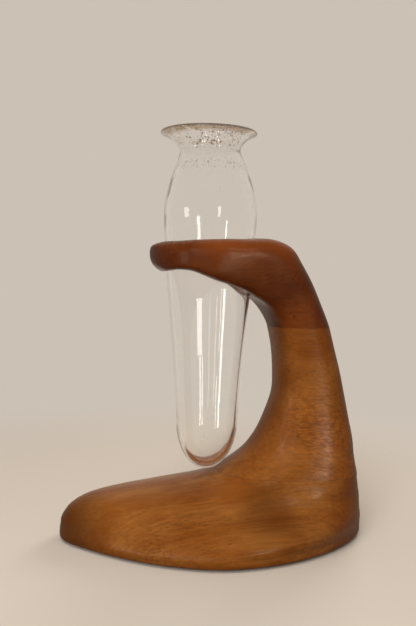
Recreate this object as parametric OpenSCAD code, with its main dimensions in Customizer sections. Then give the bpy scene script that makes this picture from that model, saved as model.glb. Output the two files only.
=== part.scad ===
// Vase in a carved stand: a hand-blown glass vase hangs in the ring of a C-shaped teak stand.
// The stand is three glued blocks, carved as one smooth body: foot, column and arm.
// Frame: the vase's axis is Z, the heel of the stand lies on +X, the table is z = 0.

/* [Stand] */
// reach of the toe from the vase's axis
toe_reach = 113.5; // [90:0.5:140]
// reach of the heel from the vase's axis
heel_reach = 126; // [110:0.5:150]
// full depth of the foot, front to back
foot_depth = 156; // [120:1:180]
// height of the foot block, up to the lower glue line
foot_h = 50.5; // [44:0.5:60]
// height of the column block, between the two glue lines
column_h = 114; // [95:1:130]
// height of the arm block, above the upper glue line
arm_h = 68.5; // [60:0.5:80]
// depth of the column at its waist
column_depth = 56; // [44:1:70]
// wood round the vase at the ring
ring_wall = 11.8; // [8:0.2:16]

/* [Vase] */
// diameter of the vase's belly
belly_d = 72.4; // [60:0.2:84]
// diameter of the flared lip
lip_d = 74.8; // [64:0.2:88]
// diameter of the neck
neck_d = 47.4; // [40:0.2:56]
// diameter where the round end begins
tail_d = 48.2; // [40:0.2:54]
// height of the lip above the arm's top
lip_rise = 82; // [70:1:95]
// height of the lip, from the neck to the rim
lip_h = 15.5; // [12:0.5:20]
// height of the shoulder, from the belly to the neck
shoulder_h = 50; // [42:1:58]
// height of the round end
tail_h = 37; // [30:1:44]
// thickness of the glass under the cavity
foot_glass = 4.5; // [3.5:0.5:8]
// height of the cavity's round end
cavity_h = 35.5; // [31:0.5:40]
// wall of the glass above the cavity's round end
glass_wall = 2.4; // [1.8:0.1:3.2]
// wall of the glass at the rim
rim_wall = 2.6; // [2:0.1:3.4]

/* [Fittings] */
// diameter of the dowels in the glue lines
dowel_d = 10; // [8:0.5:12]
// length of a dowel
dowel_len = 36; // [28:1:40]
// diameter of a felt pad
pad_d = 18; // [14:0.5:22]
// thickness of a felt pad
pad_t = 1.5; // [1:0.1:3]

/* [Fits] */
// gap between the glass and the ring's seat
seat_gap = 0.3; // [0.2:0.05:0.6]
// height of the vase's tip over the foot's slope
tip_gap = 4; // [1:0.5:6]
// glue gap round a dowel
dowel_gap = 0.05; // [0:0.01:0.1]

/* [Hidden] */
teak_foot = [0.66, 0.42, 0.22];
teak_column = [0.62, 0.37, 0.18];
teak_arm = [0.46, 0.25, 0.13];
birch = [0.86, 0.76, 0.58];
felt = [0.2, 0.17, 0.15];
clear_glass = [0.82, 0.88, 0.87, 0.4];

// overrun of every cut
over = 3;
// rings between two rows of a table, and points round a ring
ring_steps = 4;
ring_points = 40;
// steps between two points of the vase's outline
glass_steps = 4;
fine = 96;

foot_top = pad_t + foot_h;
column_top = foot_top + column_h;
arm_top = column_top + arm_h;

// Smooth curve through rows of numbers

// a point of the curve between b and c, with a and d as their neighbours
function smooth_point(a, b, c, d, t) =
    (2 * b + (c - a) * t + (2 * a - 5 * b + 4 * c - d) * t * t + (3 * b - a - 3 * c + d) * t * t * t) / 2;
// every row of the table with steps rows put between, its ends run straight
function smooth_rows(rows, steps) = let (n = len(rows)) [
    for (i = [0:n - 2])
        let (b = rows[i], c = rows[i + 1],
             a = i == 0 ? 2 * b - c : rows[i - 1],
             d = i == n - 2 ? 2 * c - b : rows[i + 2])
        for (k = [0:steps - 1]) smooth_point(a, b, c, d, k / steps),
    rows[n - 1]];
// the same for an outline that starts on the axis: its first row is level there
function smooth_lathe(rows, steps) =
    let (all = smooth_rows(concat([[-rows[1][0], rows[1][1]]], rows), steps)) [for (i = [steps:len(all) - 1]) all[i]];
function mix(a, b, share) = a + (b - a) * share;

// The glass vase

belly_r = belly_d / 2;
lip_r = lip_d / 2;
neck_r = neck_d / 2;
tail_r = tail_d / 2;
rim_top = arm_top + lip_rise;
rim_r = rim_wall / 2;
rim_z = rim_top - rim_r;
// how far round its section the rim meets the faces of the lip
rim_lean = 45;
neck_z = rim_top - lip_h;
belly_z = neck_z - shoulder_h;

// each pair: share of the height, share of the way from the first radius to the second
taper_shares = [[0.1, 0.07], [0.204, 0.18], [0.455, 0.465], [0.704, 0.765], [0.88, 0.93]];
shoulder_shares = [[0.16, 0.04], [0.31, 0.135], [0.45, 0.255], [0.6, 0.44], [0.75, 0.67], [0.9, 0.89]];
lip_shares = [[0.2, 0.05], [0.4, 0.18], [0.6, 0.4], [0.79, 0.67], [0.9, 0.88]];
// shares of the height from the cavity's round end to the belly at which its wall is drawn
wall_shares = [0, 0.15, 0.3, 0.5, 0.7, 0.85];
round_angles = [0, 8, 16, 25, 34, 44, 54, 65, 77];

function between(pairs, r0, z0, r1, z1) = [for (p = pairs) [mix(r0, r1, p[1]), mix(z0, z1, p[0])]];
function round_end(r, h, z) = [for (a = round_angles) [r * sin(a), z + h * (1 - cos(a))]];

// the outer face from the tip to the underside of the rim
function outer_face(tip_z) = smooth_lathe(concat(
    round_end(tail_r, tail_h, tip_z),
    [[tail_r, tip_z + tail_h]],
    between(taper_shares, tail_r, tip_z + tail_h, belly_r, belly_z),
    [[belly_r, belly_z]],
    between(shoulder_shares, belly_r, belly_z, neck_r, neck_z),
    [[neck_r, neck_z]],
    between(lip_shares, neck_r, neck_z, lip_r - rim_r, rim_z),
    [[lip_r - rim_r * sin(rim_lean), rim_z - rim_r * cos(rim_lean)]]), glass_steps);

function radius_at(face, z, i = 1) =
    i >= len(face) - 1 || face[i][1] >= z
        ? mix(face[i - 1][0], face[i][0], (z - face[i - 1][1]) / (face[i][1] - face[i - 1][1]))
        : radius_at(face, z, i + 1);

// The stand's outline: each row of a table is one section of the carved body

foot_half = foot_depth / 2;
column_half = column_depth / 2;

// a section: place share of its widest point, then how square and how blunt its two halves are
foot_section = [0.51, 1.7, 0.75, 1.9, 0.62];
joint_section = [0.56, 2.1, 0.48, 3, 0.34];
neck_section = [0.48, 2.9, 0.345, 2.5, 0.4];
ring_section = [0.45, 7, 0.19, 3.5, 0.33];

// how blunt a pointed half is at its very end, and how late it turns blunt
end_blunt = 0.55;
end_turn = 10;

// rows: height share, place shares of the inner and outer ends, half depth share, blend share, and how far
// the widest place has moved to the heel, where the wall of the foot stands taller.
// A place share below 0 is of the toe's reach, or of the ring's radius in the arm, above 0 of the heel's.
foot_shares = [
    [0, -0.975, 0.99, 0.965, 0, 0],
    [0.02, -0.995, 0.995, 0.99, 0, 0],
    [0.06, -1, 1, 1, 0, 0],
    [0.13, -1, 1, 1, 0, 0],
    [0.22, -0.995, 1, 0.985, 0.03, 0.03],
    [0.3, -0.99, 1, 0.945, 0.09, 0.06],
    [0.385, -0.97, 0.995, 0.87, 0.2, 0.08],
    [0.505, -0.925, 0.99, 0.745, 0.38, 0.08],
    [0.63, -0.815, 0.985, 0.64, 0.56, 0.07],
    [0.725, -0.555, 0.975, 0.59, 0.68, 0.055],
    [0.82, -0.24, 0.965, 0.555, 0.8, 0.04],
    [0.91, -0.05, 0.955, 0.535, 0.9, 0.02],
    [1, 0.055, 0.95, 0.525, 1, 0]];
column_shares = [
    [0.12, 0.22, 0.93, 1.33],
    [0.24, 0.31, 0.92, 1.205],
    [0.375, 0.37, 0.895, 1.105],
    [0.535, 0.42, 0.865, 1.035],
    [0.69, 0.425, 0.835, 1],
    [0.855, 0.415, 0.795, 1],
    [1, 0.39, 0.76, 1.03]];
// rows: place and height shares of the inner end, the same of the outer end,
// share of the way from the column's half depth to the ring's radius
arm_shares = [
    [0.355, 0.15, 0.695, 0.27, 0.16],
    [0.305, 0.275, 0.63, 0.515, 0.315],
    [0.235, 0.365, 0.56, 0.725, 0.475],
    [0.17, 0.45, 0.485, 0.905, 0.63],
    [0.095, 0.52, 0.36, 0.99, 0.79],
    [0.015, 0.57, 0.2, 0.99, 0.92],
    [-0.155, 0.61, 0.045, 0.995, 0.99],
    [-0.365, 0.64, -0.305, 0.975, 0.86],
    [-0.585, 0.63, -0.565, 0.955, 0.54],
    [-0.765, 0.61, -0.77, 0.94, 0.085],
    [-0.895, 0.66, -0.905, 0.915, -0.445],
    [-0.97, 0.725, -0.975, 0.885, -1],
    [-0.995, 0.785, -0.995, 0.835, -1.33]];
// row of the arm's table where the ring's section is reached
ring_row = 3;

function place(share, low) = share * (share < 0 ? low : heel_reach);
// a full row: inner x, inner z, outer x, outer z, half depth, then the five numbers of its section
foot_rows = [for (r = foot_shares)
    let (z = pad_t + foot_h * r[0])
    concat([place(r[1], toe_reach), z, place(r[2], toe_reach), z, foot_half * r[3]],
           mix(foot_section, joint_section, r[4]) + [r[5], 0, 0, 0, 0])];
column_rows = [for (r = column_shares)
    let (z = foot_top + column_h * r[0])
    concat([place(r[1], toe_reach), z, place(r[2], toe_reach), z, column_half * r[3]],
           mix(joint_section, neck_section, r[0]))];
// height of the foot's crown at the vase's axis, and the vase's tip over it
crown_rows = smooth_rows(concat(foot_rows, column_rows), ring_steps);
crown_z = let (i = [for (k = [1:len(crown_rows) - 1]) if (crown_rows[k - 1][0] < 0 && crown_rows[k][0] >= 0) k][0],
               a = crown_rows[i - 1], b = crown_rows[i])
    mix(a[1], b[1], -a[0] / (b[0] - a[0]));
tip_z = crown_z + tip_gap;
glass_face = outer_face(tip_z);

// the ring goes round the glass, where the seat share of the arm's height meets it
seat_share = 0.85;
ring_r = radius_at(glass_face, mix(column_top, arm_top, seat_share)) + seat_gap + ring_wall;
arm_rows = [for (i = [0:len(arm_shares) - 1])
    let (r = arm_shares[i])
    concat([place(r[0], ring_r), column_top + arm_h * r[1], place(r[2], ring_r), column_top + arm_h * r[3],
            mix(column_half, ring_r, r[4])],
           mix(neck_section, ring_section, min(1, (i + 1) / ring_row)))];
stand_rows = smooth_rows(concat(foot_rows, column_rows, arm_rows), ring_steps);
foot_end = (len(foot_rows) - 1) * ring_steps;
column_end = foot_end + len(column_rows) * ring_steps;

// one section as a loop of points: its halves are squared ellipses that meet at the widest place
function section(r) = [for (k = [0:ring_points - 1])
    let (c = cos(360 * k / ring_points), s = sin(360 * k / ring_points),
         inward = c < 0, square = inward ? r[6] : r[8], blunt = inward ? r[7] : r[9],
         u = pow(abs(c), 2 / square),
         v = sign(s) * pow(abs(s), 2 * mix(blunt, min(blunt, end_blunt), pow(u, end_turn))),
         along = inward ? r[5] * (1 - u) : mix(r[5], 1, u))
    [mix(r[0], r[2], along), r[4] * v, mix(r[1], r[3], along)]];

// the body between two rings of the stand
module carved(first, last) {
    rings = [for (i = [first:last]) section(stand_rows[i])];
    n = ring_points;
    m = len(rings);
    sides = [for (i = [0:m - 2]) for (k = [0:n - 1])
        let (a = i * n + k, b = i * n + (k + 1) % n, c = a + n, d = b + n)
        each [[a, c, b], [b, c, d]]];
    ends = [[for (k = [0:n - 1]) k], [for (k = [n - 1:-1:0]) (m - 1) * n + k]];
    polyhedron(points = [for (r = rings) each r], faces = concat(sides, ends), convexity = 6);
}

// the cavity: a round end, and above it a wall of one thickness
cavity_z = tip_z + foot_glass;
cavity_top = cavity_z + cavity_h;
cavity_r = radius_at(glass_face, cavity_top) - glass_wall;
inner_face = smooth_lathe(concat(
    round_end(cavity_r, cavity_h, cavity_z),
    [for (share = wall_shares)
        let (z = mix(cavity_top, belly_z, share))
        [radius_at(glass_face, z) - glass_wall, z]],
    [[belly_r - glass_wall, belly_z]],
    between(shoulder_shares, belly_r - glass_wall, belly_z, neck_r - glass_wall, neck_z),
    [[neck_r - glass_wall, neck_z]],
    between(lip_shares, neck_r - glass_wall, neck_z, lip_r - rim_wall - rim_r, rim_z + rim_r / 2),
    [[lip_r - rim_r - rim_r * sin(rim_lean), rim_z + rim_r * cos(rim_lean)]]), glass_steps);
rim_round = [for (a = [-rim_lean / 2:rim_lean / 2:180 - rim_lean * 1.5])
    [lip_r - rim_r + rim_r * cos(a), rim_z + rim_r * sin(a)]];

module glass_vase() {
    outline = concat(glass_face, rim_round, [for (i = [len(inner_face) - 1:-1:0]) inner_face[i]]);
    color(clear_glass) rotate_extrude($fn = fine) polygon(outline);
}

// the seat: the glass's own outer face, opened by the gap, through the arm
module ring_seat() {
    low = column_top;
    high = arm_top + over;
    wall = [for (p = glass_face) if (p[1] > low && p[1] < high) [p[0] + seat_gap, p[1]]];
    rotate_extrude($fn = fine) polygon(concat(
        [[0, low], [radius_at(glass_face, low) + seat_gap, low]], wall,
        [[radius_at(glass_face, high) + seat_gap, high], [0, high]]));
}

// The dowels

// places: share of the joint's length from its inner end, share of its half depth
neck_dowel_shares = [[0.26, 0], [0.6, 0]];
foot_dowel_shares = [[0.42, 0], [0.76, -0.45], [0.76, 0.45]];

function joint_spot(row, share) = [mix(row[0], row[2], share[0]), row[4] * share[1], row[1]];
neck_spots = [for (s = neck_dowel_shares) joint_spot(stand_rows[column_end], s)];
foot_spots = [for (s = foot_dowel_shares) joint_spot(stand_rows[foot_end], s)];

module dowel_at(spot) {
    color(birch) translate(spot) cylinder(d = dowel_d, h = dowel_len, center = true, $fn = fine);
}
module dowel_holes(spots) {
    for (p = spots) translate(p)
        cylinder(d = dowel_d + 2 * dowel_gap, h = dowel_len + 2 * dowel_gap, center = true, $fn = fine);
}

// The felt pads

// places: place share along the foot, share of the half depth
pad_shares = [[-0.79, 0], [0.12, -0.72], [0, 0], [0.12, 0.72], [0.8, 0]];
module pad_at(share) {
    color(felt) translate([place(share[0], toe_reach), foot_half * share[1], 0])
        cylinder(d = pad_d, h = pad_t, $fn = fine);
}

// The three teak blocks

module base_slab() {
    color(teak_foot) difference() {
        carved(0, foot_end);
        dowel_holes(foot_spots);
    }
}
module column_block() {
    color(teak_column) difference() {
        carved(foot_end, column_end);
        dowel_holes(foot_spots);
        dowel_holes(neck_spots);
    }
}
module arm_block() {
    color(teak_arm) difference() {
        carved(column_end, len(stand_rows) - 1);
        dowel_holes(neck_spots);
        ring_seat();
    }
}
module foot_dowel_inner() { dowel_at(foot_spots[0]); }
module foot_dowel_near() { dowel_at(foot_spots[1]); }
module foot_dowel_far() { dowel_at(foot_spots[2]); }
module neck_dowel_inner() { dowel_at(neck_spots[0]); }
module neck_dowel_outer() { dowel_at(neck_spots[1]); }
module felt_pad_toe() { pad_at(pad_shares[0]); }
module felt_pad_near() { pad_at(pad_shares[1]); }
module felt_pad_middle() { pad_at(pad_shares[2]); }
module felt_pad_far() { pad_at(pad_shares[3]); }
module felt_pad_heel() { pad_at(pad_shares[4]); }

// which node to draw, or all

base_slab();
column_block();
arm_block();
glass_vase();
foot_dowel_inner();
foot_dowel_near();
foot_dowel_far();
neck_dowel_inner();
neck_dowel_outer();
felt_pad_toe();
felt_pad_near();
felt_pad_middle();
felt_pad_far();
felt_pad_heel();
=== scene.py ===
import math

import bmesh
import bpy
from mathutils import Matrix, Vector


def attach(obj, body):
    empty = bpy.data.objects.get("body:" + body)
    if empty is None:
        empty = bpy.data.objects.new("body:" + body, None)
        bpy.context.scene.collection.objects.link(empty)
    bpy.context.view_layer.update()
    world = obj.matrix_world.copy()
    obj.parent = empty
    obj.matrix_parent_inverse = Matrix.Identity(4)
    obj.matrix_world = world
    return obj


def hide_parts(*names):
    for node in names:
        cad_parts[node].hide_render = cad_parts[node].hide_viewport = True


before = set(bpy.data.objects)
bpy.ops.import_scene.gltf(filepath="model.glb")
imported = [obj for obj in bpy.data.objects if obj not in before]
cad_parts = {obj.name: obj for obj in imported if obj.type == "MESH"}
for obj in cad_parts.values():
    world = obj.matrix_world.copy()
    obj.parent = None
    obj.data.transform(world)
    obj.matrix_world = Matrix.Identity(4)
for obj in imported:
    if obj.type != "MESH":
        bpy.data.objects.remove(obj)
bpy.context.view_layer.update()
bpy.ops.object.select_all(action="DESELECT")

MM = 0.001

# Camera
# The eye is 0.2 m above the table and a little to the left of the vase, looking slightly down.

camera_place = Vector((-0.07482, -0.52880, 0.20072))
# focal length in picture heights, and how far the picture's centre lies below eye level on the same scale
focal, below_eye = 680 / 626, 32 / 626
turn, tip_down, lean = math.radians(8), math.atan(below_eye / focal), math.radians(1)
level_ahead = Vector((math.sin(turn), math.cos(turn), 0))
level_right = Vector((math.cos(turn), -math.sin(turn), 0))
ahead = level_ahead * math.cos(tip_down) - Vector((0, 0, math.sin(tip_down)))
above = Vector((0, 0, math.cos(tip_down))) + level_ahead * math.sin(tip_down)
right = level_right * math.cos(lean) + above * math.sin(lean)
top = above * math.cos(lean) - level_right * math.sin(lean)

bpy.ops.object.camera_add()
camera = bpy.context.object
camera.name = "photo_camera"
camera.matrix_world = Matrix((right, top, -ahead)).transposed().to_4x4()
camera.location = camera_place
camera.data.lens = camera.data.sensor_width * focal
camera.data.clip_start = 0.01
bpy.context.scene.camera = camera

# Studio
# A plain pale floor that sweeps up into a plain wall behind, narrow soft windows that the glass or the oiled
# wood mirrors, and three broad soft lamps that light everything.

floor_depth, wall_distance, sweep, wall_height, half_width = 3.0, 1.5, 0.5, 2.2, 3.0
bpy.ops.mesh.primitive_plane_add(size=1)
studio = bpy.context.object
studio.name = "studio_floor"
bpy.ops.object.mode_set(mode="EDIT")
bpy.ops.mesh.select_all(action="DESELECT")
net = bmesh.from_edit_mesh(studio.data)
for corner in net.verts:
    back = corner.co.y > 0
    depth = wall_distance - sweep if back else -floor_depth
    corner.co = (half_width * math.copysign(1, corner.co.x), depth, 0)
    corner.select = back
net.select_flush(True)
bmesh.update_edit_mesh(studio.data)
sweep_steps = 16
for step in range(1, sweep_steps + 1):
    a, b = (math.radians(90 * k / sweep_steps) for k in (step - 1, step))
    rise = (0, sweep * (math.sin(b) - math.sin(a)), sweep * (math.cos(a) - math.cos(b)))
    bpy.ops.mesh.extrude_region_move(TRANSFORM_OT_translate={"value": rise})
bpy.ops.mesh.extrude_region_move(TRANSFORM_OT_translate={"value": (0, 0, wall_height)})
bpy.ops.mesh.select_all(action="SELECT")
bpy.ops.mesh.normals_make_consistent(inside=False)
bpy.ops.object.mode_set(mode="OBJECT")
bpy.ops.object.shade_smooth()


def put(tree, kind, sockets=(), **settings):
    """Adds a node; sockets gives each input a value or another node's output."""
    made = tree.nodes.new("ShaderNode" + kind)
    for key, value in settings.items():
        setattr(made, key, value)
    for socket, value in dict(sockets).items():
        if isinstance(value, bpy.types.NodeSocket):
            tree.links.new(value, made.inputs[socket])
        else:
            made.inputs[socket].default_value = value
    return made


def math_node(tree, how, a, b=0.0, clamp=False):
    return put(tree, "Math", {0: a, 1: b}, operation=how, use_clamp=clamp).outputs[0]


def mixed(tree, first, second, share):
    """One colour laid over another by a share."""
    return put(tree, "Mix", {0: share, 6: first, 7: second}, data_type="RGBA").outputs[2]


def ramp(tree, value, low, high, to_low=0.0, to_high=1.0):
    """A value that runs smoothly between two ends, and stays there."""
    sockets = {"Value": value, "From Min": low, "From Max": high, "To Min": to_low, "To Max": to_high}
    return put(tree, "MapRange", sockets, interpolation_type="SMOOTHSTEP").outputs[0]


# The eye, mirrors and glass see a pale floor that fades into one even pale tone away from the object; light
# that bounces off the floor is as brown as off a wooden table.
pale, brown, unlit = (0.66, 0.595, 0.525, 1), (0.16, 0.10, 0.06, 1), (0, 0, 0, 1)
room_tone = (0.60, 0.533, 0.462, 1)
mirrored_share, fade_from, fade_to = 0.6, 0.2, 0.6
paper = bpy.data.materials.new("pale_paper")
paper.use_nodes = True
tree = paper.node_tree
shader = tree.nodes["Principled BSDF"]
shader.inputs["Roughness"].default_value = 0.9
shader.inputs["Specular IOR Level"].default_value = 0
path = put(tree, "LightPath").outputs
mirrored = math_node(tree, "MULTIPLY", path["Is Glossy Ray"], mirrored_share)
seen = math_node(tree, "ADD", path["Is Camera Ray"], mirrored)
seen = math_node(tree, "ADD", seen, path["Is Transmission Ray"], clamp=True)
spot = put(tree, "TexCoord").outputs["Object"]
far = put(tree, "VectorMath", {0: spot}, operation="LENGTH").outputs["Value"]
far = ramp(tree, far, fade_from, fade_to)
even = math_node(tree, "MULTIPLY", seen, far)
colour = mixed(tree, brown, pale, math_node(tree, "MAXIMUM", seen, far))
tree.links.new(mixed(tree, colour, unlit, even), shader.inputs["Base Color"])
tree.links.new(even, shader.inputs["Emission Strength"])
shader.inputs["Emission Color"].default_value = room_tone
studio.data.materials.append(paper)

world = bpy.data.worlds.new("pale_room")
bpy.context.scene.world = world
world.use_nodes = True
tree = world.node_tree
tree.nodes["Background"].inputs["Color"].default_value = (1.0, 0.888, 0.77, 1)
# the room is dim to the wood, and as pale as the wall to the eye and through the glass
dim_room, pale_room = 0.34, 0.6
path = put(tree, "LightPath").outputs
seen = math_node(tree, "MAXIMUM", path["Is Camera Ray"], path["Is Transmission Ray"])
tree.links.new(ramp(tree, seen, 0, 1, dim_room, pale_room), tree.nodes["Background"].inputs["Strength"])

# the pieces that mirror the windows of the glass, and those that mirror the windows of the wood
glass_lit, wood_lit = (bpy.data.collections.new(name) for name in ("lit_glass", "lit_wood"))
daylight = (1.0, 0.97, 0.93)


def window(shown_on, name, bearing, reach, low, high, width, radiance):
    """A soft upright window that one group of pieces mirrors; bearing 0 is the viewer's side, + is right."""
    bpy.ops.object.light_add(type="AREA")
    light = bpy.context.object
    light.name = name
    tall = high - low
    light.data.shape, light.data.size, light.data.size_y = "RECTANGLE", width, tall
    light.data.energy = radiance * math.pi * width * tall
    light.data.color = daylight
    side = math.radians(bearing)
    light.location = (reach * math.sin(side), -reach * math.cos(side), (low + high) / 2)
    light.rotation_euler = (math.radians(90), 0, side)
    light.light_linking.receiver_collection = shown_on
    light.visible_camera = light.visible_diffuse = light.visible_transmission = False


# name, bearing, distance, heights of the lower and upper end, width, radiance
for row in (
        ("pane_left", -32.5, 0.20, 0.096, 0.153, 0.05, 9),
        ("pane_left_low", -31.5, 0.20, 0.035, 0.096, 0.013, 11),
        ("pane_left_low_inner", -24.5, 0.20, 0.035, 0.096, 0.011, 11),
        ("pane_middle_left", -5, 0.20, 0.05, 0.155, 0.007, 4),
        ("pane_middle_right", 13, 0.20, 0.05, 0.155, 0.008, 5),
        ("pane_right", 32, 0.20, 0.03, 0.165, 0.022, 13),
        ("pane_right_inner", 24, 0.20, 0.10, 0.165, 0.009, 7),
        ("pane_right_low", 21.5, 0.20, 0.03, 0.075, 0.008, 11),
        ("pane_high_left", -64, 0.28, 0.245, 0.305, 0.06, 7),
        ("pane_high_inner", -33.5, 0.28, 0.215, 0.252, 0.035, 12),
        ("pane_high_middle", 11, 0.28, 0.245, 0.31, 0.03, 8),
        ("pane_high_right", 29, 0.28, 0.212, 0.246, 0.022, 13)):
    window(glass_lit, *row)
for row in (
        ("sheen_right", 28, 1.2, 0.25, 0.29, 0.06, 300),
        ("sheen_left", -58, 1.2, 0.27, 0.31, 0.06, 170),
        ("sheen_arm", 25, 1.2, 0.13, 0.17, 0.04, 60),
        ("sheen_high_left", -38, 1.0, 0.56, 0.68, 0.12, 26),
        ("sheen_high_right", 26, 0.95, 0.71, 0.79, 0.08, 45)):
    window(wood_lit, *row)


def broad_light(name, place, size, radiance):
    """A large soft lamp that faces the vase, seen in nothing."""
    bpy.ops.object.light_add(type="AREA", location=place)
    light = bpy.context.object
    light.name = name
    light.data.size = size
    light.data.energy = radiance * math.pi * size ** 2
    light.data.color = daylight
    light.rotation_euler = (Vector(place) - Vector((0, 0, 0.12))).to_track_quat("Z", "Y").to_euler()
    light.visible_camera = light.visible_glossy = light.visible_transmission = False


broad_light("overhead", (-0.3, -0.5, 1.3), 0.6, 5.5)
broad_light("front_left", (-0.42, -1.05, 0.55), 0.6, 7.8)
broad_light("back_right", (0.7, 1.0, 0.7), 0.6, 7)

# Vase
# One piece of hand-blown clear glass with a few bubbles in its wall: a round end, a long taper, a belly, a
# neck and a flared lip with brown flecks melted into its rim. Drawn as one outline and spun round its axis.

# radii and heights in mm
belly_r, lip_r, neck_r, tail_r, rim_r = 36.2, 37.4, 23.7, 24.1, 1.3
tip_z, cavity_z, tail_z, cavity_top, belly_z, neck_z, rim_z = 53, 57.5, 90, 93, 251, 301, 315.2
glass_wall = 2.4
# share of the height, share of the way from the lower radius to the upper one
taper_shares = ((0.1, 0.07), (0.204, 0.18), (0.455, 0.465), (0.704, 0.765), (0.88, 0.93))
shoulder_shares = ((0.16, 0.04), (0.31, 0.135), (0.45, 0.255), (0.6, 0.44), (0.75, 0.67), (0.9, 0.89))
lip_shares = ((0.2, 0.05), (0.4, 0.18), (0.6, 0.4), (0.79, 0.67), (0.9, 0.88))
# shares of the height from the cavity's round end to the belly at which its wall is drawn
wall_shares = (0, 0.15, 0.3, 0.5, 0.7, 0.85)
round_angles = (0, 8, 16, 25, 34, 44, 54, 65, 77)


def blend(first, second, share):
    return tuple(p + (q - p) * share for p, q in zip(first, second))


def smooth_rows(rows, steps):
    """A smooth curve through rows of numbers, with steps rows for each gap."""
    made = []
    for i, (b, c) in enumerate(zip(rows, rows[1:])):
        a = rows[i - 1] if i else blend(c, b, 2)
        d = rows[i + 2] if i + 2 < len(rows) else blend(b, c, 2)
        for k in range(steps):
            t = k / steps
            made.append(tuple((2 * q + (r - p) * t + (2 * p - 5 * q + 4 * r - s) * t ** 2
                               + (3 * q - p - 3 * r + s) * t ** 3) / 2 for p, q, r, s in zip(a, b, c, d)))
    return made + [rows[-1]]


def lathe_rows(rows, steps=6):
    """A smooth outline that starts level on the axis."""
    return smooth_rows([(-rows[1][0], rows[1][1])] + rows, steps)[steps:]


def round_end(radius, height, base):
    turns = [math.radians(a) for a in round_angles]
    return [(radius * math.sin(a), base + height * (1 - math.cos(a))) for a in turns]


def between(shares, low_r, low_z, high_r, high_z):
    return [(low_r + (high_r - low_r) * out, low_z + (high_z - low_z) * up) for up, out in shares]


def radius_at(face, height):
    """Radius of an outline at a height."""
    for (r0, z0), (r1, z1) in zip(face, face[1:]):
        if z1 >= height:
            return r0 + (r1 - r0) * (height - z0) / (z1 - z0)


glass_face = lathe_rows(
    round_end(tail_r, tail_z - tip_z, tip_z) + [(tail_r, tail_z)]
    + between(taper_shares, tail_r, tail_z, belly_r, belly_z) + [(belly_r, belly_z)]
    + between(shoulder_shares, belly_r, belly_z, neck_r, neck_z) + [(neck_r, neck_z)]
    + between(lip_shares, neck_r, neck_z, lip_r - rim_r, rim_z)
    + [(lip_r - rim_r * math.sin(math.pi / 4), rim_z - rim_r * math.cos(math.pi / 4))])
inside_r = belly_r - glass_wall, neck_r - glass_wall, lip_r - 3 * rim_r
inner_face = round_end(radius_at(glass_face, cavity_top) - glass_wall, cavity_top - cavity_z, cavity_z)
for share in wall_shares:
    z = cavity_top + (belly_z - cavity_top) * share
    inner_face.append((radius_at(glass_face, z) - glass_wall, z))
inner_face += [(inside_r[0], belly_z)] + between(shoulder_shares, inside_r[0], belly_z, inside_r[1], neck_z)
inner_face += [(inside_r[1], neck_z)]
inner_face += between(lip_shares, inside_r[1], neck_z, inside_r[2], rim_z + rim_r / 2)
inner_face.append((lip_r - rim_r * (1 + math.sin(math.pi / 4)), rim_z + rim_r * math.cos(math.pi / 4)))
inner_face = lathe_rows(inner_face)
rim = [(lip_r - rim_r + rim_r * math.cos(math.radians(a)), rim_z + rim_r * math.sin(math.radians(a)))
       for a in range(-27, 130, 18)]


def turned(name, outline, steps=128):
    """A closed outline of (radius, height) points in mm, drawn point by point and spun round the axis."""
    bpy.ops.mesh.primitive_plane_add(size=1)
    piece = bpy.context.object
    piece.name = name
    bpy.ops.object.mode_set(mode="EDIT")
    bpy.ops.mesh.merge(type="CENTER")
    net = bmesh.from_edit_mesh(piece.data)
    net.verts.ensure_lookup_table()
    net.verts[0].co = Vector((outline[0][0], 0, outline[0][1])) * MM
    bmesh.update_edit_mesh(piece.data)
    for (r0, z0), (r1, z1) in zip(outline, outline[1:]):
        step = Vector((r1 - r0, 0, z1 - z0)) * MM
        bpy.ops.mesh.extrude_vertices_move(TRANSFORM_OT_translate={"value": step})
    bpy.ops.mesh.select_all(action="SELECT")
    bpy.ops.mesh.spin(steps=steps, angle=2 * math.pi, center=(0, 0, 0), axis=(0, 0, 1))
    bpy.ops.mesh.select_all(action="SELECT")
    bpy.ops.mesh.remove_doubles(threshold=1e-6)
    bpy.ops.mesh.normals_make_consistent(inside=False)
    bpy.ops.object.mode_set(mode="OBJECT")
    return piece


def smooth_over(piece, angle=35):
    """Soft shading over curves; edges sharper than the angle stay crisp."""
    bpy.ops.object.select_all(action="DESELECT")
    piece.select_set(True)
    bpy.context.view_layer.objects.active = piece
    bpy.ops.object.shade_smooth_by_angle(angle=math.radians(angle))


def soft_step(low, high, value):
    share = min(1, max(0, (value - low) / (high - low)))
    return share * share * (3 - 2 * share)


vase = turned("blown_vase", glass_face + rim + inner_face[::-1], 144)
# hand work: the lip leans to the left and dips towards the viewer, and the tip leans to the left
lip_lean, lip_dip, dip_all_round, tip_lean = 2.2 * MM, 1.3 * MM, 0.25, 0.5 * MM
lip_span, tip_span = (0.287, 0.316), (0.1, 0.052)
for corner in vase.data.vertices:
    lip_share, tip_share = soft_step(*lip_span, corner.co.z), soft_step(*tip_span, corner.co.z)
    corner.co.z -= lip_dip * lip_share * (dip_all_round + max(0, -corner.co.y / (lip_r * MM)))
    corner.co.x -= lip_lean * lip_share + tip_lean * tip_share
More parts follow.
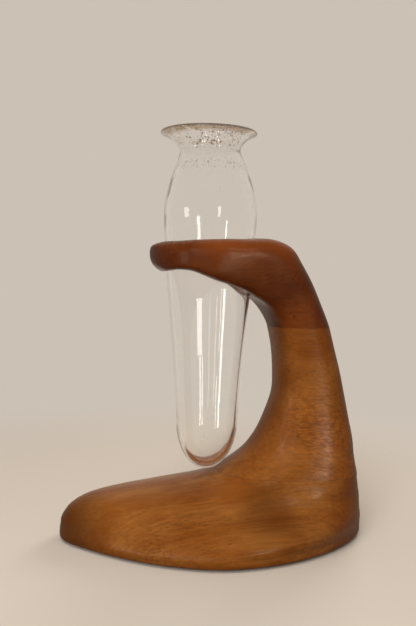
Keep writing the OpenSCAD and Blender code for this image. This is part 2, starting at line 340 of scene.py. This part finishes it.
# bubbles: place and radius in mm, each a tiny hollow in the front wall
bubbles = ((-5.1, -21.8, 83, 0.8), (-6.3, -20.7, 79, 0.7), (-2.6, -23.2, 96.7, 0.7), (-0.2, -23.4, 97.7, 0.5),
           (2, -32.8, 269.2, 0.5))
parts = [vase]
for x, y, z, radius in bubbles:
    bpy.ops.mesh.primitive_uv_sphere_add(segments=16, ring_count=10, radius=radius * MM,
                                         location=Vector((x, y, z)) * MM)
    bubble = bpy.context.object
    bpy.ops.object.mode_set(mode="EDIT")
    bpy.ops.mesh.flip_normals()
    bpy.ops.object.mode_set(mode="OBJECT")
    parts.append(bubble)
bpy.ops.object.select_all(action="DESELECT")
for part in parts:
    part.select_set(True)
bpy.context.view_layer.objects.active = vase
bpy.ops.object.join()
smooth_over(vase, 60)


def frit_mask(tree, spot, size, spread, kept):
    """Small melted grains: round spots of a cell pattern, of which only some are kept."""
    cells = put(tree, "TexVoronoi", {"Vector": spot, "Scale": size}).outputs
    chosen = ramp(tree, put(tree, "SeparateColor", {0: cells["Color"]}).outputs[0], kept, kept + 0.04)
    return math_node(tree, "MULTIPLY", ramp(tree, cells["Distance"], spread, spread * 0.6), chosen)


glass = bpy.data.materials.new("clear_blown_glass")
glass.use_nodes = True
tree = glass.node_tree
shader = tree.nodes["Principled BSDF"]
shader.inputs["Roughness"].default_value = 0.0
shader.inputs["IOR"].default_value = 1.5
shader.inputs["Transmission Weight"].default_value = 1.0
# the tone of the glass's painted glow
shader.inputs["Emission Color"].default_value = room_tone
clear, amber = (0.985, 0.988, 0.982, 1), (0.50, 0.36, 0.25, 1)
brown_frit, gold_frit = (0.10, 0.055, 0.030, 1), (0.42, 0.33, 0.06, 1)
spot = put(tree, "TexCoord").outputs["Object"]
axes = put(tree, "SeparateXYZ", {0: spot}).outputs
cloud = put(tree, "TexNoise", {"Vector": spot, "Scale": 90, "Detail": 2}).outputs[0]
front = ramp(tree, axes["Y"], 0.004, -0.008, 0.2, 1)
# melted grains: large and fine ones on the lip, most of them on its near half, and a faint ring on the neck
shaken = put(tree, "TexNoise", {"Vector": spot, "Scale": 700, "Detail": 1}).outputs["Color"]
shaken = put(tree, "VectorMath", {0: shaken, "Scale": 0.0016}, operation="SCALE").outputs[0]
shaken = put(tree, "VectorMath", {0: spot, 1: shaken}, operation="ADD").outputs[0]
grains = math_node(tree, "MAXIMUM", frit_mask(tree, shaken, 400, 0.42, 0.70),
                   frit_mask(tree, shaken, 800, 0.42, 0.68))
lip_zone = math_node(tree, "MULTIPLY", ramp(tree, axes["Z"], 0.2975, 0.3035), ramp(tree, cloud, 0.38, 0.50))
neck_zone = math_node(tree, "MULTIPLY", ramp(tree, axes["Z"], 0.2835, 0.286),
                      ramp(tree, axes["Z"], 0.2935, 0.2905))
zone = math_node(tree, "ADD", lip_zone, math_node(tree, "MULTIPLY", neck_zone, 0.5), clamp=True)
grains = math_node(tree, "MULTIPLY", grains, math_node(tree, "MULTIPLY", zone, front))
gold_zone = math_node(tree, "MULTIPLY", ramp(tree, axes["X"], -0.008, -0.014),
                      ramp(tree, axes["X"], -0.030, -0.026))
gold_zone = math_node(tree, "MULTIPLY", gold_zone, ramp(tree, axes["Z"], 0.3105, 0.3125))
gold = math_node(tree, "MULTIPLY", frit_mask(tree, shaken, 300, 0.5, 0.4), gold_zone)
gold = math_node(tree, "MULTIPLY", gold, front)
edge = math_node(tree, "MULTIPLY", ramp(tree, axes["Z"], 0.3105, 0.3140), ramp(tree, cloud, 0.3, 0.5, 0.3, 1))
colour = mixed(tree, clear, amber, math_node(tree, "MULTIPLY", edge, front))
colour = mixed(tree, colour, gold_frit, gold)
tree.links.new(mixed(tree, colour, brown_frit, grains), shader.inputs["Base Color"])
# after many bounces inside, the glass itself glows in the room's own tone: painted light that stands in for
# the room seen through it
bounces = put(tree, "LightPath").outputs["Ray Depth"]
tree.links.new(ramp(tree, bounces, 4, 9), shader.inputs["Emission Strength"])
wave = put(tree, "TexNoise", {"Vector": spot, "Scale": 55, "Detail": 1}).outputs[0]
wave = math_node(tree, "MULTIPLY", wave, ramp(tree, axes["Z"], 0.232, 0.250))
bump = put(tree, "Bump", {"Height": wave, "Strength": 1, "Distance": 0.0007})
tree.links.new(bump.outputs[0], shader.inputs["Normal"])
vase.data.materials.append(glass)
glass_lit.objects.link(vase)
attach(vase, "vase")
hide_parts("glass_vase")

# Foot block
# The lowest of three teak blocks: a leaf-shaped foot that rises into a crown. The blocks are glued up over
# dowels, then carved and sanded as one smooth body, so all three are wrapped over one line of level cuts.

# sizes in mm: reach each way from the vase's axis, half depth, height over the pads, and the pads
toe_reach, heel_reach, foot_half, foot_height, pad_height = 113.5, 126, 78, 50.5, 1.5
# rows up the block: share of the height, places of its toe and heel ends, half depth, how far the leaf's cut
# has turned into the joint's, and how far its widest place has moved to the heel
foot_shares = (
    (0, -0.975, 0.99, 0.965, 0, 0), (0.02, -0.995, 0.995, 0.99, 0, 0), (0.06, -1, 1, 1, 0, 0),
    (0.13, -1, 1, 1, 0, 0), (0.22, -0.995, 1, 0.985, 0.03, 0.03), (0.3, -0.99, 1, 0.945, 0.09, 0.06),
    (0.385, -0.97, 0.995, 0.87, 0.2, 0.08), (0.505, -0.925, 0.99, 0.745, 0.38, 0.08),
    (0.63, -0.815, 0.985, 0.64, 0.56, 0.07), (0.725, -0.555, 0.975, 0.59, 0.68, 0.055),
    (0.82, -0.24, 0.965, 0.555, 0.8, 0.04), (0.91, -0.05, 0.955, 0.535, 0.9, 0.02),
    (1, 0.055, 0.95, 0.525, 1, 0))
# a cut: place of its widest point, then how square and how blunt its two halves are
leaf_cut, joint_cut = (0.51, 1.7, 0.75, 1.9, 0.62), (0.56, 2.1, 0.48, 3.0, 0.34)
# near its very end a half is no blunter than this, and how late along the half that begins
end_blunt, end_power = 0.55, 10
station_steps = 6


def along(share, reach):
    """A place along the stand: below 0 a share of reach, above 0 of the heel's reach."""
    return share * (reach if share < 0 else heel_reach)


stations = []
for up, toe, heel, half, turned_share, moved in foot_shares:
    z = pad_height + foot_height * up
    widest, *corners = blend(leaf_cut, joint_cut, turned_share)
    ends = along(toe, toe_reach), z, along(heel, toe_reach), z
    stations.append(ends + (foot_half * half, widest + moved, *corners))
foot_last = (len(stations) - 1) * station_steps


def level_cut(station, points):
    """The outline of the carved body at one station, as points in metres."""
    xi, zi, xo, zo, half, widest, square_in, blunt_in, square_out, blunt_out = station
    outline = []
    for k in range(points):
        c, s = math.cos(2 * math.pi * k / points), math.sin(2 * math.pi * k / points)
        square, blunt = (square_in, blunt_in) if c < 0 else (square_out, blunt_out)
        reach = abs(c) ** (2 / square)
        blunt += (min(blunt, end_blunt) - blunt) * reach ** end_power
        across = math.copysign(abs(s) ** (2 * blunt), s)
        inward = widest * (1 - reach) if c < 0 else widest + (1 - widest) * reach
        outline.append(Vector((xi + (xo - xi) * inward, half * across, zi + (zo - zi) * inward)) * MM)
    return outline


def carved_block(name, cuts, points=96):
    """A sheet wrapped round the cuts: its long edges are joined and its two ends filled."""
    bpy.ops.mesh.primitive_grid_add(x_subdivisions=points, y_subdivisions=len(cuts) - 1)
    block = bpy.context.object
    block.name = name
    places = []
    for cut in cuts:
        loop = level_cut(cut, points)
        places += loop + loop[:1]
    for corner, spot in zip(block.data.vertices, places):
        corner.co = spot
    bpy.ops.object.mode_set(mode="EDIT")
    bpy.ops.mesh.select_all(action="SELECT")
    bpy.ops.mesh.remove_doubles(threshold=1e-6)
    bpy.ops.mesh.fill_holes(sides=0)
    bpy.ops.mesh.select_all(action="SELECT")
    bpy.ops.mesh.normals_make_consistent(inside=False)
    bpy.ops.object.mode_set(mode="OBJECT")
    return block


def finish_with(piece, kind, **settings):
    """Adds a modifier and applies it."""
    bpy.ops.object.select_all(action="DESELECT")
    piece.select_set(True)
    bpy.context.view_layer.objects.active = piece
    bpy.ops.object.modifier_add(type=kind)
    made = piece.modifiers[-1]
    for key, value in settings.items():
        setattr(made, key, value)
    bpy.ops.object.modifier_apply(modifier=made.name)


# dowels: radius and half length, and how much wider and deeper their holes are
dowel_r, dowel_half, dowel_gap = 5 * MM, 18 * MM, 0.05 * MM
foot_spots = ((54.3, 0, 52), (92.6, -18.4, 52), (92.6, 18.4, 52))
neck_spots = ((61.3, 0, 166), (77.1, 0, 166))


def drill(block, spots):
    """Dowel holes, cut with a round bit."""
    for spot in spots:
        bpy.ops.mesh.primitive_cylinder_add(vertices=48, radius=dowel_r + dowel_gap,
                                            depth=2 * (dowel_half + dowel_gap), location=Vector(spot) * MM)
        bit = bpy.context.object
        finish_with(block, "BOOLEAN", operation="DIFFERENCE", object=bit, solver="EXACT")
        bpy.data.objects.remove(bit)


def node_group(name, inputs, outputs):
    """An empty shader node group, with its two end nodes."""
    tree = bpy.data.node_groups.new(name, "ShaderNodeTree")
    for label, kind in inputs:
        tree.interface.new_socket(label, in_out="INPUT", socket_type="NodeSocket" + kind)
    for label, kind in outputs:
        tree.interface.new_socket(label, in_out="OUTPUT", socket_type="NodeSocket" + kind)
    return tree, tree.nodes.new("NodeGroupInput").outputs, tree.nodes.new("NodeGroupOutput").inputs


# Teak: broad tone bands and fine lines along the board, growth rings round the heart of the log, short dark
# pores, and short wavy flecks that catch the light, as masks, with the height that they give the surface.
figure, given, out = node_group("teak_figure", (("Place", "Vector"), ("Sway", "Float")), (
    ("Bands", "Float"), ("Rings", "Float"), ("Lines", "Float"), ("Pores", "Float"), ("Flecks", "Float"),
    ("Height", "Float")))
sway = put(figure, "TexNoise", {"Vector": given["Place"], "Scale": 11, "Detail": 2})
sway = put(figure, "VectorMath", {0: sway.outputs["Color"], 1: (0.5, 0.5, 0.5)}, operation="SUBTRACT")
sway = put(figure, "VectorMath", {0: sway.outputs[0], "Scale": given["Sway"]}, operation="SCALE")
board = put(figure, "VectorMath", {0: given["Place"], 1: sway.outputs[0]}, operation="ADD").outputs[0]


def drawn_out(share, size, detail, rough=0.5):
    """Noise drawn out along the board."""
    drawn = put(figure, "VectorMath", {0: board, 1: (share, 1, 1)}, operation="MULTIPLY").outputs[0]
    sockets = {"Vector": drawn, "Scale": size, "Detail": detail, "Roughness": rough}
    return put(figure, "TexNoise", sockets).outputs[0]


rings_per_metre = 330
across = put(figure, "VectorMath", {0: board, 1: (0, 1, 1)}, operation="MULTIPLY").outputs[0]
age = put(figure, "VectorMath", {0: across}, operation="LENGTH").outputs["Value"]
age = math_node(figure, "MULTIPLY", age, rings_per_metre)
uneven = math_node(figure, "MULTIPLY", drawn_out(0.08, 45, 2), 4)
year = math_node(figure, "FRACT", math_node(figure, "ADD", age, uneven))
rings = math_node(figure, "MULTIPLY", ramp(figure, year, 0.2, 0.9), ramp(figure, year, 1, 0.93))
cloud = put(figure, "TexNoise", {"Vector": board, "Scale": 26, "Detail": 2}).outputs[0]
bands = math_node(figure, "MULTIPLY", math_node(figure, "ADD", drawn_out(0.06, 60, 2), cloud), 0.5)
bands = ramp(figure, bands, 0.38, 0.62)
lines = ramp(figure, drawn_out(0.03, 520, 4, 0.7), 0.36, 0.66)
pores = ramp(figure, drawn_out(0.18, 1250, 1), 0.60, 0.68)
pores = math_node(figure, "MULTIPLY", pores, ramp(figure, drawn_out(0.25, 48, 2), 0.44, 0.62))
flecks = ramp(figure, drawn_out(0.3, 760, 2, 0.6), 0.42, 0.66)
height = math_node(figure, "SUBTRACT", math_node(figure, "MULTIPLY", flecks, 0.5), lines)
for label, value in (("Bands", bands), ("Rings", rings), ("Lines", lines), ("Pores", pores),
                     ("Flecks", flecks), ("Height", height)):
    figure.links.new(value, out[label])


def near_to(tree, spot, place, reach, strength):
    """Strength at a place in mm, which fades to nothing at a reach in mm."""
    away = put(tree, "VectorMath", {0: spot, 1: Vector(place) * MM}, operation="DISTANCE").outputs["Value"]
    return ramp(tree, away, reach * MM, 0.2 * reach * MM, 0, strength)


darker, brighter = 0.38, 1.5
mark_strengths = (("Rings", 0.10), ("Lines", 0.42), ("Pores", 0.6))


def oiled_teak(name, tones, heart, tilt, sway, painted_light_spots, fleck_and_highlight_spots, joints, knots_and_painted_shade):
    """Sanded and oiled teak: two tones of one board, darkened by its figure, under a satin oil finish.

    Heart and tilt place the board in its log. The spots are places and reach in mm, and strength: the pale
    spots paint light and sheen, the fleck spots brighten real flecks where highlights fall, painted
    highlight, and the dark spots are real knot marks and wear specks beside broad patches of painted shade.
    Joints are the heights of the glue lines in mm.
    """
    wood = bpy.data.materials.new(name)
    wood.use_nodes = True
    tree = wood.node_tree
    shader = tree.nodes["Principled BSDF"]
    spot = put(tree, "TexCoord").outputs["Object"]
    turned_board = {"Vector": spot, "Location": heart, "Rotation": [math.radians(a) for a in tilt]}
    grain = put(tree, "Group", node_tree=figure)
    tree.links.new(put(tree, "Mapping", turned_board).outputs[0], grain.inputs["Place"])
    grain.inputs["Sway"].default_value = sway
    grain = grain.outputs
    light, deep = tones
    dark = tuple(darker * v for v in deep[:3]) + (1,)
    colour = mixed(tree, deep, light, grain["Bands"])
    for mark, strength in mark_strengths:
        colour = mixed(tree, colour, dark, math_node(tree, "MULTIPLY", grain[mark], strength))
    # painted light and sheen: round the pale spots, where light falls on the tops and fronts of the wood, the
    # colour turns lighter
    bright = tuple(brighter * v for v in light[:3]) + (1,)
    for *place, reach, strength in painted_light_spots:
        colour = mixed(tree, colour, bright, near_to(tree, spot, place, reach, strength))
    # flecks of the pith rays, real figure, brightened round their spots, which lie where the highlights on
    # the column and the ring fall: painted highlight
    fleck_and_highlight_zone = 0.0
    for *place, reach, strength in fleck_and_highlight_spots:
        fleck_and_highlight_zone = math_node(tree, "ADD", near_to(tree, spot, place, reach, strength), fleck_and_highlight_zone)
    colour = mixed(tree, colour, bright, math_node(tree, "MULTIPLY", grain["Flecks"], fleck_and_highlight_zone))
    # cut across the fibres, on the ends of the board, the wood drinks more oil and turns darker and duller
    facing = put(tree, "SeparateXYZ", {0: put(tree, "TexCoord").outputs["Normal"]}).outputs["X"]
    cut_end = ramp(tree, math_node(tree, "ABSOLUTE", facing), 0.5, 0.95, 0, 0.5)
    colour = mixed(tree, colour, dark, cut_end)
    # dark spots: the small ones are real knot marks and wear specks; the broad ones are painted shade where
    # little light falls, on the toe, in the hollow under the column, on the column's right side and under the
    # ring
    for *place, radius, strength in knots_and_painted_shade:
        colour = mixed(tree, colour, dark, near_to(tree, spot, place, radius, strength))
    height = put(tree, "SeparateXYZ", {0: spot}).outputs["Z"]
    for joint in joints:
        away = math_node(tree, "ABSOLUTE", math_node(tree, "SUBTRACT", height, joint * MM))
        colour = mixed(tree, colour, dark, ramp(tree, away, 0.3 * MM, 0.05 * MM, 0, 0.4))
    tree.links.new(colour, shader.inputs["Base Color"])
    rough = math_node(tree, "ADD", math_node(tree, "MULTIPLY", grain["Lines"], 0.08), 0.25)
    rough = math_node(tree, "ADD", rough, math_node(tree, "MULTIPLY", cut_end, 0.3))
    tree.links.new(rough, shader.inputs["Roughness"])
    shader.inputs["Specular IOR Level"].default_value = 0.16
    shader.inputs["Specular Tint"].default_value = (1.0, 0.86, 0.68, 1)
    bump = put(tree, "Bump", {"Height": grain["Height"], "Strength": 0.3, "Distance": 0.00008})
    tree.links.new(bump.outputs[0], shader.inputs["Normal"])
    return wood


foot = carved_block("foot_of_teak", smooth_rows(stations, station_steps), 128)
drill(foot, foot_spots)
smooth_over(foot)
# foot: pale spots of painted light and sheen on the toe's top slope, the front edge and the top by the
# column; broad dark spots of painted shade in the hollow under the column and on the toe; two small wear
# specks by the toe
foot.data.materials.append(oiled_teak(
    "teak_foot_oiled", ((0.29, 0.104, 0.020, 1), (0.205, 0.054, 0.005, 1)), (0.30, -0.08, -0.02), (0, 2, -3),
    0.004, ((-60, -26, 38, 50, 0.15), (0, -76, 18, 45, 0.1), (13, -39, 46, 26, 0.2)),
    ((66, -40, 46, 38, 0.3),), (52,),
    ((41, -50, 33, 34, 0.55), (-108, -14, 10, 46, 0.8), (-101, -23, 7, 2, 0.6), (-95, -29, 5, 2, 0.6))))
wood_lit.objects.link(foot)
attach(foot, "stand")
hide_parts("base_slab")

# Column block
# The middle teak block, golden brown with a rippled figure, glued on the foot and to the arm at level lines.

column_height, column_half = 114, 28
# rows up the block: share of the height, places of its inner and outer ends, half depth
column_shares = (
    (0.12, 0.22, 0.93, 1.33), (0.24, 0.31, 0.92, 1.205), (0.375, 0.37, 0.895, 1.105),
    (0.535, 0.42, 0.865, 1.035), (0.69, 0.425, 0.835, 1), (0.855, 0.415, 0.795, 1), (1, 0.39, 0.76, 1.03))
neck_cut = (0.48, 2.9, 0.345, 2.5, 0.40)
for up, inner, outer, half in column_shares:
    z = pad_height + foot_height + column_height * up
    stations.append((along(inner, toe_reach), z, along(outer, toe_reach), z, column_half * half)
                    + blend(joint_cut, neck_cut, up))
column_last = (len(stations) - 1) * station_steps

column = carved_block("column_of_teak", smooth_rows(stations, station_steps)[foot_last:])
drill(column, foot_spots + neck_spots)
smooth_over(column)
# column: a pale spot of painted light low on its front; flecks brightened round the highlight on its right
# front, painted highlight; a real knot mark, and painted shade on its right side
column.data.materials.append(oiled_teak(
    "teak_column_oiled", ((0.275, 0.094, 0.016, 1), (0.205, 0.056, 0.006, 1)), (-0.40, -0.10, 0.05),
    (0, -2, 4), 0.003, ((48, -32, 64, 40, 0.1),),
    ((84, -34, 100, 42, 0.5), (84, -34, 62, 30, 0.3)), (52, 166),
    ((66, -31, 84, 2.6, 0.6), (104, -22, 112, 26, 0.4))))
wood_lit.objects.link(column)
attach(column, "stand")
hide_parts("column_block")

# Arm block
# The top teak block, darker and redder, which bends over and ends in the ring. Its seat is reamed to the
# vase's own outline, and its edges are sanded round.

arm_height, ring_half = 68.5, 47
# rows along the arm: place and height shares of the inner end, the same of the outer end, and how far the
# half depth has grown from the column's to the ring's
arm_shares = (
    (0.355, 0.15, 0.695, 0.27, 0.16), (0.305, 0.275, 0.63, 0.515, 0.315),
    (0.235, 0.365, 0.56, 0.725, 0.475), (0.17, 0.45, 0.485, 0.905, 0.63), (0.095, 0.52, 0.36, 0.99, 0.79),
    (0.015, 0.57, 0.2, 0.99, 0.92), (-0.155, 0.61, 0.045, 0.995, 0.99), (-0.365, 0.64, -0.305, 0.975, 0.86),
    (-0.585, 0.63, -0.565, 0.955, 0.54), (-0.765, 0.61, -0.77, 0.94, 0.085),
    (-0.895, 0.66, -0.905, 0.915, -0.445), (-0.97, 0.725, -0.975, 0.885, -1),
    (-0.995, 0.785, -0.995, 0.835, -1.33))
ring_cut, ring_row = (0.45, 7, 0.19, 3.5, 0.33), 3
arm_base = pad_height + foot_height + column_height
for i, (inner, inner_up, outer, outer_up, grown) in enumerate(arm_shares):
    ends = (along(inner, ring_half), arm_base + arm_height * inner_up,
            along(outer, ring_half), arm_base + arm_height * outer_up)
    stations.append(ends + (column_half + (ring_half - column_half) * grown,)
                    + blend(neck_cut, ring_cut, min(1, (i + 1) / ring_row)))

seat_gap, seat_low, seat_high = 0.3, 190, 250
# rows of the column that the arm begins with, which the cut at the glue line takes off again
spare_rows = 8
seat = [(r + seat_gap, z) for r, z in glass_face if seat_low < z < seat_high]
reamer = turned("reamer", [(0, seat[0][1])] + seat + [(0, seat[-1][1])])
arm = carved_block("arm_of_teak", smooth_rows(stations, station_steps)[column_last - spare_rows:])
finish_with(arm, "BOOLEAN", operation="DIFFERENCE", object=reamer, solver="EXACT")
bpy.data.objects.remove(reamer)
finish_with(arm, "REMESH", mode="VOXEL", voxel_size=0.0010, use_smooth_shade=True)
finish_with(arm, "SMOOTH", factor=0.5, iterations=4)
# hand work: the ring's lower edge hangs a little deeper on the viewer's side, less so towards the neck
edge_drop, neck_drop_share = 5.8 * MM, 0.5
near_side, low_edge, off_nose = (-0.010, -0.042), (0.230, 0.209), (-0.040, 0.004)
towards_neck, off_joint = (0.014, 0.032), (0.168, 0.190)
for corner in arm.data.vertices:
    drop = edge_drop * soft_step(*near_side, corner.co.y) * soft_step(*low_edge, corner.co.z)
    drop *= 1 - neck_drop_share * soft_step(*towards_neck, corner.co.x)
    corner.co.z -= drop * soft_step(*off_nose, corner.co.x) * soft_step(*off_joint, corner.co.z)
bpy.ops.object.mode_set(mode="EDIT")
bpy.ops.mesh.select_all(action="SELECT")
bpy.ops.mesh.bisect(plane_co=(0, 0, arm_base * MM), plane_no=(0, 0, 1), use_fill=True, clear_inner=True,
                    threshold=1e-6)
bpy.ops.object.mode_set(mode="OBJECT")
drill(arm, neck_spots)
smooth_over(arm, 50)
# arm: pale spots of painted light on the ring's top and low by the glue line; flecks brightened round two
# spots, one where the highlight on the ring's front falls, partly painted highlight; a real knot mark by the
# glue line, and painted shade on the ring's lower near face
arm.data.materials.append(oiled_teak(
    "teak_arm_oiled", ((0.150, 0.036, 0.006, 1), (0.090, 0.016, 0.002, 1)), (0.10, -0.02, -0.12), (0, 4, 2),
    0.004, ((10, -40, 238, 42, 0.6), (52, -30, 236, 34, 0.7), (62, -30, 172, 20, 0.2)),
    ((20, -44, 225, 40, 0.15), (62, -30, 176, 24, 0.3)), (166,),
    ((61, -30, 175, 2.2, 0.6), (-18, -44, 209, 22, 0.35), (12, -44, 202, 26, 0.4), (48, -36, 196, 30, 0.3))))
wood_lit.objects.link(arm)
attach(arm, "stand")
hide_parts("arm_block")

# Dowels
# Five fluted birch dowels, chamfered at both ends, which pin the glue lines and can't be seen from outside.

birch = bpy.data.materials.new("turned_birch")
birch.use_nodes = True
tree = birch.node_tree
shader = tree.nodes["Principled BSDF"]
spot = put(tree, "TexCoord").outputs["Object"]
drawn = put(tree, "VectorMath", {0: spot, 1: (1, 1, 0.08)}, operation="MULTIPLY").outputs[0]
fibre = put(tree, "TexNoise", {"Vector": drawn, "Scale": 900, "Detail": 3}).outputs[0]
colour = mixed(tree, (0.55, 0.40, 0.23, 1), (0.72, 0.58, 0.38, 1), ramp(tree, fibre, 0.3, 0.7))
tree.links.new(colour, shader.inputs["Base Color"])
shader.inputs["Roughness"].default_value = 0.6
sides, flute_every, flute_share, chamfer = 48, 4, 0.93, 1 * MM
dowel_nodes = ("foot_dowel_inner", "foot_dowel_near", "foot_dowel_far",
               "neck_dowel_inner", "neck_dowel_outer")
for node, spot in zip(dowel_nodes, foot_spots + neck_spots):
    bpy.ops.mesh.primitive_cylinder_add(vertices=sides, radius=dowel_r, depth=2 * dowel_half,
                                        location=Vector(spot) * MM)
    dowel = bpy.context.object
    dowel.name = "fluted_" + node
    bpy.ops.object.transform_apply(location=True, rotation=False, scale=False)
    centre = Vector(spot) * MM
    for corner in dowel.data.vertices:
        out_from = Vector((corner.co.x - centre.x, corner.co.y - centre.y, 0))
        side = round(math.atan2(out_from.y, out_from.x) / (2 * math.pi) * sides)
        if side % flute_every == flute_every // 2:
            corner.co -= out_from * (1 - flute_share)
    bpy.ops.object.mode_set(mode="EDIT")
    bpy.ops.mesh.select_all(action="DESELECT")
    net = bmesh.from_edit_mesh(dowel.data)
    for face in net.faces:
        face.select = abs(face.normal.z) > 0.9
    bmesh.update_edit_mesh(dowel.data)
    bpy.ops.mesh.inset(thickness=chamfer)
    bpy.ops.object.mode_set(mode="OBJECT")
    for corner in dowel.data.vertices:
        if (corner.co.xy - centre.xy).length > dowel_r - 0.5 * chamfer:
            corner.co.z = centre.z + (corner.co.z - centre.z) * (1 - chamfer / dowel_half)
    smooth_over(dowel, 30)
    dowel.data.materials.append(birch)
    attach(dowel, "stand")
    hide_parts(node)

# Felt pads
# Five round pads of brown felt under the foot, punched from a sheet, with soft edges.

pad_half, pad_edge = 9 * MM, 0.5 * MM
felt = bpy.data.materials.new("brown_felt")
felt.use_nodes = True
tree = felt.node_tree
shader = tree.nodes["Principled BSDF"]
spot = put(tree, "TexCoord").outputs["Object"]
hairs = put(tree, "TexNoise", {"Vector": spot, "Scale": 2400, "Detail": 4, "Roughness": 0.7}).outputs[0]
colour = mixed(tree, (0.018, 0.013, 0.010, 1), (0.055, 0.040, 0.030, 1), ramp(tree, hairs, 0.3, 0.7))
tree.links.new(colour, shader.inputs["Base Color"])
shader.inputs["Roughness"].default_value = 0.95
shader.inputs["Sheen Weight"].default_value = 0.2
bump = put(tree, "Bump", {"Height": hairs, "Strength": 0.6, "Distance": 0.0002})
tree.links.new(bump.outputs[0], shader.inputs["Normal"])
# name, place share along the foot, share of the half depth
pad_places = (("toe", -0.79, 0), ("near", 0.12, -0.72), ("middle", 0, 0), ("far", 0.12, 0.72),
              ("heel", 0.8, 0))
for name, share, side in pad_places:
    centre = Vector((along(share, toe_reach), foot_half * side, pad_height / 2)) * MM
    bpy.ops.mesh.primitive_cylinder_add(vertices=64, radius=pad_half, depth=pad_height * MM, location=centre)
    pad = bpy.context.object
    pad.name = "felt_under_" + name
    bpy.ops.object.transform_apply(location=True, rotation=False, scale=False)
    finish_with(pad, "BEVEL", width=pad_edge, segments=3, limit_method="ANGLE", angle_limit=math.radians(60))
    smooth_over(pad, 60)
    pad.data.materials.append(felt)
    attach(pad, "stand")
    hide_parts("felt_pad_" + name)

bpy.context.scene.view_settings.view_transform = "Standard"
